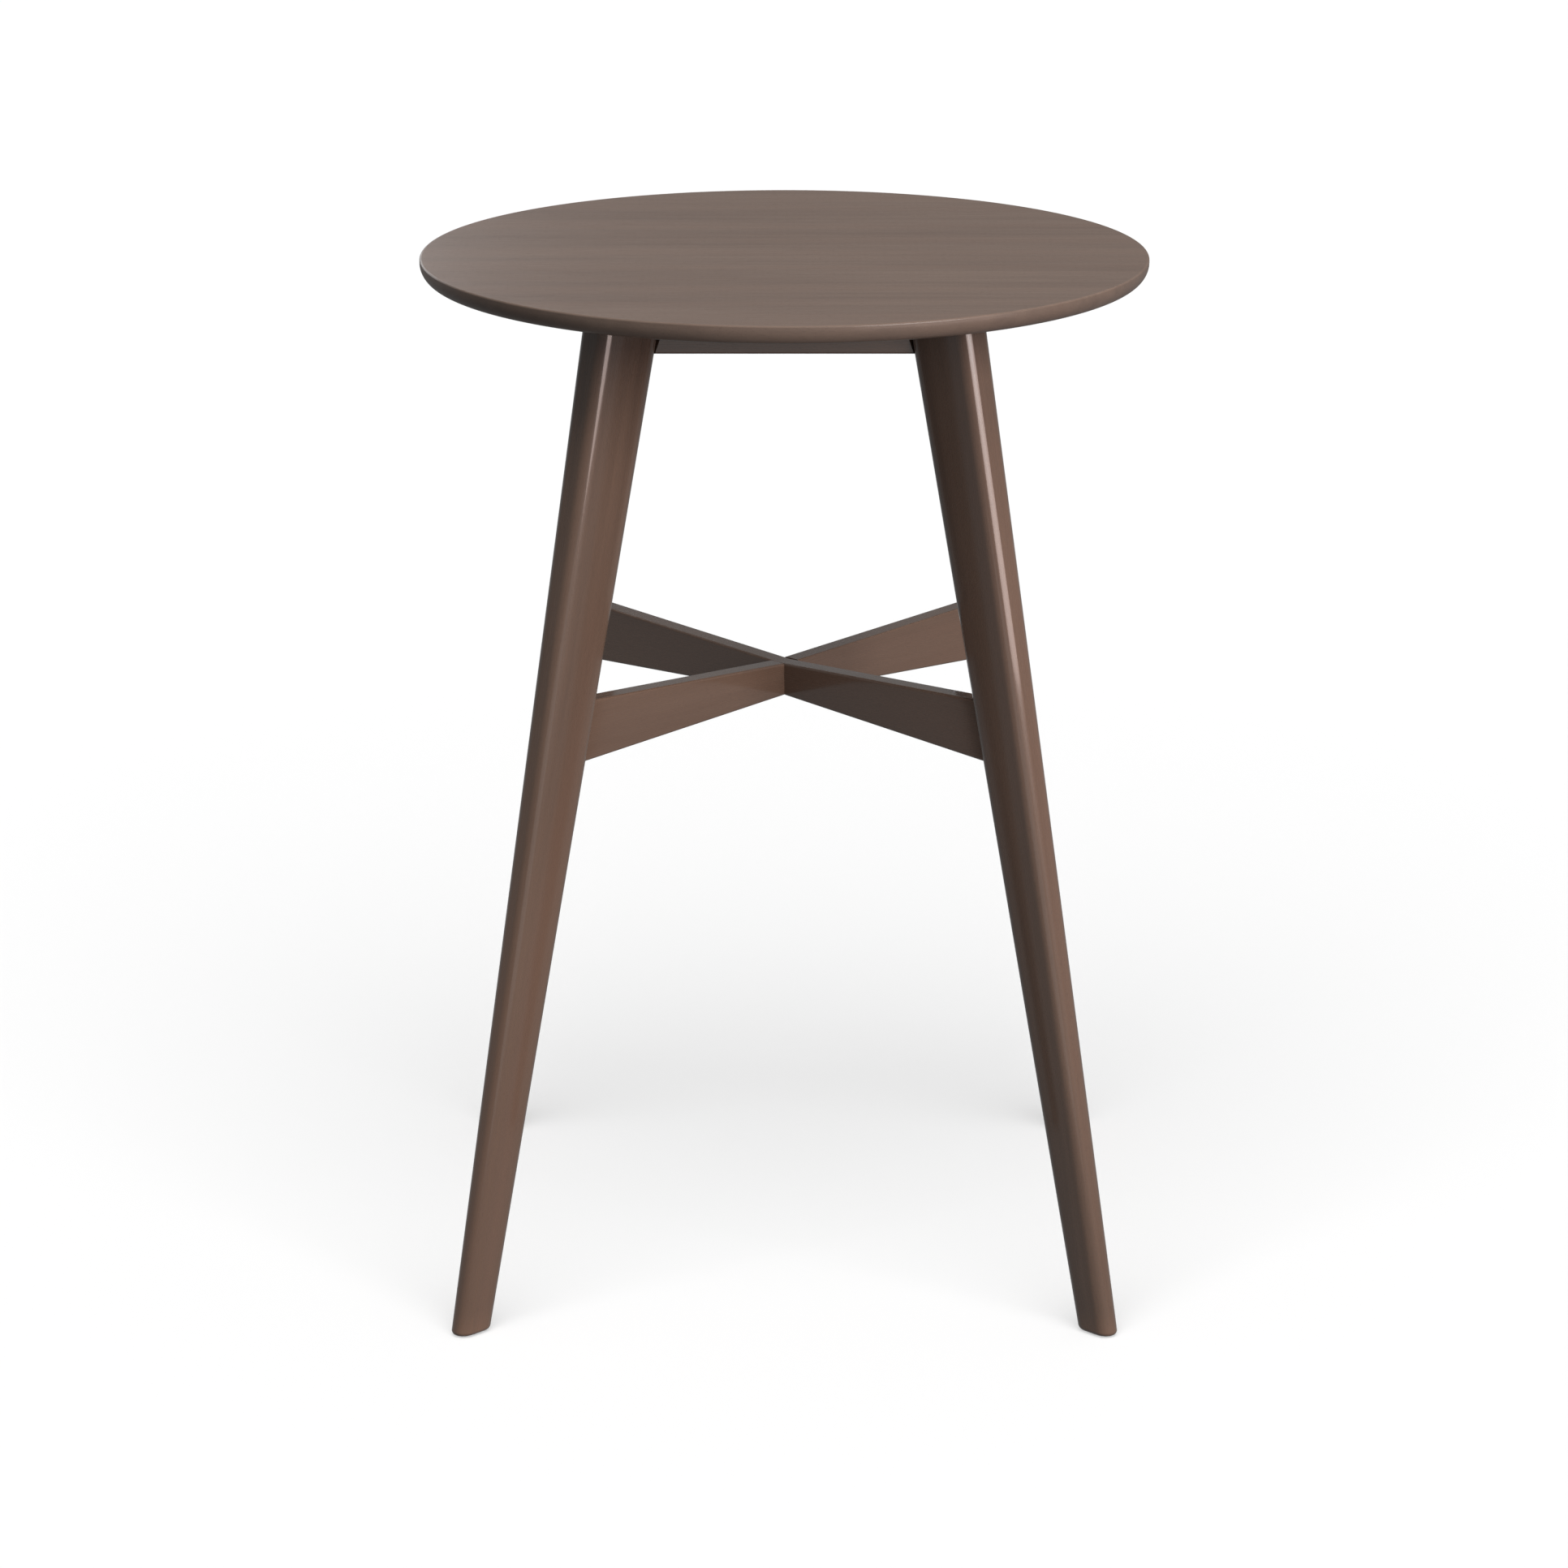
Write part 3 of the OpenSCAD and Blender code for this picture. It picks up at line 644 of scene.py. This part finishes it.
socket = hexagon_outline(socket_width, bolt_sides)
dome = [(bolt_seat - bolt_head_height + (bolt_head_height - dome_low) * (1 - math.cos(a)),
         bolt_head / 2 * math.sin(a)) for a in np.radians(np.linspace(30, 90, 9))]
dome_face = dome[0][0]
dome += [(bolt_seat - back, bolt_head / 2 - inwards) for back, inwards in head_under_edge]
dome += [(bolt_seat, bolt_outer)]
bottom = dome_face + socket_depth
socket_rows = [(bottom + socket_tip_depth, socket_tip_radius), (bottom, socket * 0.92),
               (bottom - socket_floor_round, socket),
               (dome_face + socket_mouth_round, socket), (dome_face, socket * 1.06)]
bolt_rows = np.concatenate([
    lathe(socket_rows + dome, bolt_sides),
    threaded(bolt_seat + plain_shank, bolt_seat + bolt_length - bolt_end_length, bolt_outer,
             bolt_core, bolt_thread_pitch, bolt_sides),
    lathe([(bolt_seat + bolt_length, bolt_end_radius)], bolt_sides)])
bolts = skin("domed_leg_bolts", at_bolts(with_ends(bolt_rows)))
springs = skin("split_spring_washers", at_bolts(with_ends(
    washer(spring_outer, bolt_seat, spring_thickness, spring_first, spring_last))))
flats = skin("flat_bolt_washers", at_bolts(
    washer(washer_outer, block_face - washer_thickness, washer_thickness)))
for piece, replaced in ((bolts, "leg_bolts"), (springs, "spring_washers"),
                        (flats, "flat_washers")):
    piece.data.materials.append(zinc)
    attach(piece, "root")
    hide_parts(replaced)

# Tabletop: a round board, stained and lacquered as the rest, with its grain from side to side. A
# router has taken a small round off its upper arris and a long quarter curve off its under-edge,
# which leaves a narrow upright band. The top screws hold it down from inside the rails.
top_z = 1.060
top_radius = 0.375
arris = 0.002
band = 0.0022
undercut = 0.014
hub_radius = 0.02
curve_gap = 0.0005
top_sides = 288


def top_profile():
    """Upright outline of the top from the middle of its upper face to the middle of its lower
    one, as (height, radius): level, a quarter circle, upright, a quarter ellipse, level."""
    arris_z, arris_radius = top_z - arris, top_radius - arris
    band_low = arris_z - band
    flat = [(top_z, r) for r in np.linspace(hub_radius, arris_radius - curve_gap, 14)]
    upper = [(arris_z + arris * math.sin(a), arris_radius + arris * math.cos(a))
             for a in np.radians(np.linspace(90, 0, 9))]
    lower = [(band_low - (band_low - head_z) * math.sin(a),
              top_radius - undercut * (1 - math.cos(a)))
             for a in np.radians(np.linspace(0, 90, 25))]
    under = [(head_z, r) for r in np.linspace(top_radius - undercut - curve_gap, hub_radius, 12)]
    return flat + upper + lower + under


# The pilot holes of the top screws are in pairs, over the middle of each rail's thickness. The
# top is cut from a plank of its own, and its stain is barely rubbed along the arris.
rail_line = round(frame_half - rail_thickness / 2, 5)
top_screw_x, top_screw_bite = 0.058, 0.014
pilot_low = -0.002
arris_rubbed, on_edge = 0.05, 1e-5


def at_top_screws(tube, z):
    """The upright tube at every top screw's place, raised by z."""
    return [turned(tube + (side * top_screw_x, -rail_line, z), turn)
            for turn in (0, 90, 180, 270) for side in (-1, 1)]


tabletop = skin("round_walnut_top", [with_ends(upright(lathe(top_profile(), top_sides)))])
pilot = upright(with_ends(lathe([(head_z + pilot_low, screw_bore),
                                 (head_z + top_screw_bite + end_gap, screw_bore)], 20)))
bore(tabletop, at_top_screws(pilot, 0))
x, y, z = points_of(tabletop).T
on_arris = (np.hypot(x, y) > top_radius - arris - on_edge) & (z > top_z - arris - on_edge)
lay_grain(tabletop, x + 41.0, y + 0.9, z - top_z + 0.35, on_arris * arris_rubbed)
even_shading(tabletop)
tabletop.data.materials.append(stained_wood(
    "walnut_stained_top", (0.0860, 0.0620, 0.0495), (0.0585, 0.0417, 0.0337),
    (0.078, 0.0537, 0.0422), roughness=0.38, coat=0.1, specular=0.15))
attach(tabletop, "root")
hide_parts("tabletop")

# Top screws: eight zinc-plated pan-head screws, two to a rail. Their heads sit deep in
# counterbores in the rails' lower edges, and their points bite into the underside of the top.
top_screw_length, top_thread_start = 0.040, 0.015
screw_seat = head_z + top_screw_bite - top_screw_length
pan_head, pan_height, pan_recess_depth = 0.008, 0.0028, 0.0014
pan_edge_height, pan_edge_round = 0.0002, 0.0003
pan_recess = cross_outline(pan_head * 0.26, pan_head * 0.06, screw_sides)
pan = [(-pan_height + pan_height / 2 * (1 - math.cos(a)), pan_head / 2 * math.sin(a))
       for a in np.radians(np.linspace(32, 90, 8))]
pan = cross_recess(pan_recess, pan[0][0], pan_recess_depth) + pan
pan += [(-pan_edge_height, pan_head / 2), (0, pan_head / 2 - pan_edge_round), (0, shank_radius)]
pan_screw = wood_screw(pan, top_thread_start, top_screw_length)
pan_screws = skin("pan_head_top_screws", at_top_screws(pan_screw, screw_seat))
pan_screws.data.materials.append(zinc)
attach(pan_screws, "root")
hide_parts("top_screws")

# Floor glides and their nails: a brown nylon disc under each foot, rounded where it meets the
# floor, with one zinc-plated nail whose head is sunk in the middle of it.
glide_radius, glide_sides = 0.0075, 64
nail_low, nail_head, nail_head_height = 0.0003, 0.0056, 0.0008
nail_head_edge, nail_tip, nail_sides = 0.0002, 0.0002, 32


def moulded_nylon(name):
    """Brown nylon: smooth, slightly mottled, with scuffs in its gloss."""
    material, tree, shader = blank_material(name)
    place = node(tree, "TexCoord").outputs["Object"]
    mottle = node(tree, "TexNoise", {"Vector": place, "Scale": 400.0, "Detail": 4.0}).outputs["Fac"]
    colour = blend(tree, mottle, (0.030, 0.022, 0.017, 1), (0.055, 0.043, 0.035, 1))
    tree.links.new(colour, shader.inputs["Base Color"])
    tree.links.new(remap(tree, mottle, 0, 1, 0.35, 0.65), shader.inputs["Roughness"])
    add_relief(tree, shader, mottle, 0.2, 0.0001)
    return material


nylon = moulded_nylon("brown_nylon")
head_hole = nail_head / 2 + thread_gap
hole_mouth = [(0.0001, head_hole), (0, head_hole + 0.0002)]
lip = [(foot_z / 2 * (1 - math.cos(a)), glide_radius - foot_z / 2 * (1 - math.sin(a)))
       for a in np.radians(np.linspace(0, 90, 9))]
glide = upright(with_ends(lathe([(nail_low + nail_head_height, head_hole)] + hole_mouth + lip
                                + [(foot_z, glide_radius)], glide_sides)))
nail = upright(with_ends(lathe([
    (nail_low, nail_head / 2 - nail_head_edge), (nail_low + nail_head_edge, nail_head / 2),
    (nail_low + nail_head_height - nail_head_edge, nail_head / 2),
    (nail_low + nail_head_height, nail_diameter / 2),
    (nail_length - nail_diameter, nail_diameter / 2), (nail_length, nail_tip)], nail_sides)))
for corner, turn in corner_turns.items():
    disc = skin(corner + "_nylon_glide", [turned(glide + (leg_middle(0), 0, 0), turn)])
    disc.data.materials.append(nylon)
    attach(disc, "root")
    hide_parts("foot_glide_" + corner)
nails = skin("glide_nails_in_feet", [turned(nail + (leg_middle(0), 0, 0), turn)
                                     for turn in corner_turns.values()])
nails.data.materials.append(zinc)
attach(nails, "root")
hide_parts("glide_nails")

# Studio: a pale floor in a white surround, both of which the camera sees lighter than they shine.
# The table and the floor are lit apart, so that the table's shadow stays as faint as in the
# photograph. The camera is in front of the table, above the top, with a long lens.
scene = bpy.context.scene
scene.view_settings.view_transform = "Standard"
scene.view_settings.look = "None"
floor_half = 60
floor_dark, floor_pale = (0.22, 0.22, 0.22, 1), (0.84, 0.84, 0.84, 1)
surround_given, surround_seen = 0.2, 1.0
camera_lens, camera_down = 132.85, 15.951
camera_place = (-0.0004, -5.8739, 2.1717)

floor_mesh = bpy.data.meshes.new("studio_floor")
floor_mesh.from_pydata([(-floor_half, -floor_half, 0), (floor_half, -floor_half, 0),
                        (floor_half, floor_half, 0), (-floor_half, floor_half, 0)],
                       [], [(0, 1, 2, 3)])
floor = bpy.data.objects.new("studio_floor", floor_mesh)
scene.collection.objects.link(floor)
floor_paint, tree, shader = blank_material("studio_floor_paint")
seen_directly = node(tree, "LightPath").outputs["Is Camera Ray"]
tree.links.new(blend(tree, seen_directly, floor_dark, floor_pale), shader.inputs["Base Color"])
shader.inputs["Roughness"].default_value = 1.0
shader.inputs["Specular IOR Level"].default_value = 0.0
floor_mesh.materials.append(floor_paint)

world = bpy.data.worlds.new("white_surround")
scene.world = world
world.use_nodes = True
tree = world.node_tree
seen_directly = node(tree, "LightPath").outputs["Is Camera Ray"]
strength = remap(tree, seen_directly, 0, 1, surround_given, surround_seen)
tree.links.new(strength, tree.nodes["Background"].inputs["Strength"])
tree.nodes["Background"].inputs["Color"].default_value = (1, 1, 1, 1)


def soft_light(name, place, target, width, height, power, tint=(1, 1, 1)):
    """A rectangular light at place, facing target, with its width level."""
    lamp = bpy.data.lights.new(name, "AREA")
    lamp.shape = "RECTANGLE"
    lamp.size, lamp.size_y = width, height
    lamp.energy = power
    lamp.color = tint
    holder = bpy.data.objects.new(name, lamp)
    away = np.array(place) - np.array(target)
    away = away / np.linalg.norm(away)
    side = np.cross((0, 0, 1), away)
    side = side / np.linalg.norm(side)
    above = np.cross(away, side)
    holder.location = place
    holder.rotation_euler = Matrix(np.stack([side, above, away], axis=1).tolist()).to_euler()
    holder.visible_camera = False
    scene.collection.objects.link(holder)
    return holder


def sky_light(name, tilt, breadth, strength):
    """A light from far above, leaning tilt degrees to the front and breadth degrees across."""
    lamp = bpy.data.lights.new(name, "SUN")
    lamp.energy = strength
    lamp.angle = math.radians(breadth)
    holder = bpy.data.objects.new(name, lamp)
    holder.rotation_euler = (math.radians(tilt), 0, 0)
    scene.collection.objects.link(holder)
    return holder


def light_only(name, things, lamps):
    """Lets the lamps light only the things."""
    lit = bpy.data.collections.new(name)
    for thing in things:
        lit.objects.link(thing)
    for lamp in lamps:
        lamp.light_linking.receiver_collection = lit


# The table has a broad light overhead, a near and a wide one at the front right, a low one in
# front and one behind on the left. The floor has a broad light and an even lift with no shadow.
sky_over_table = sky_light("sky_over_table", tilt=0, breadth=80, strength=5.7)
sky_over_table.visible_glossy = False
sky_over_floor = sky_light("sky_over_floor", tilt=42, breadth=70, strength=1.9)
floor_lift = sky_light("floor_lift", tilt=0, breadth=1, strength=1.75)
floor_lift.data.use_shadow = False
near_light = soft_light("front_right_light", place=(1.08, -1.12, 1.1), target=(0, 0, 1.05),
                        width=1.4, height=0.7, power=12.6, tint=(1, 0.81, 0.76))
wide_light = soft_light("wide_right_light", place=(3.5, -4.1, 3.3), target=(0, 0, 0.6),
                        width=3.0, height=3.0, power=560)
reflector = soft_light("front_reflector", place=(0, -3.7, 0.1), target=(0, 0, 1.0),
                       width=2.4, height=1.4, power=4)
back_light = soft_light("back_left_light", place=(-2.4, 5.0, 2.1), target=(0, 0, 1.06),
                        width=3.6, height=1.6, power=40, tint=(0.92, 0.96, 1))
table_things = [thing for thing in scene.objects if thing.type == "MESH" and thing is not floor]
light_only("lit_as_the_table", table_things,
           [sky_over_table, near_light, wide_light, back_light, reflector])
light_only("lit_as_the_floor", [floor], [sky_over_floor, floor_lift])

camera_data = bpy.data.cameras.new("camera")
camera_data.sensor_width = 36.0
camera_data.lens = camera_lens
camera = bpy.data.objects.new("camera", camera_data)
camera.location = camera_place
camera.rotation_euler = (math.radians(90 - camera_down), 0, 0)
scene.collection.objects.link(camera)
scene.camera = camera
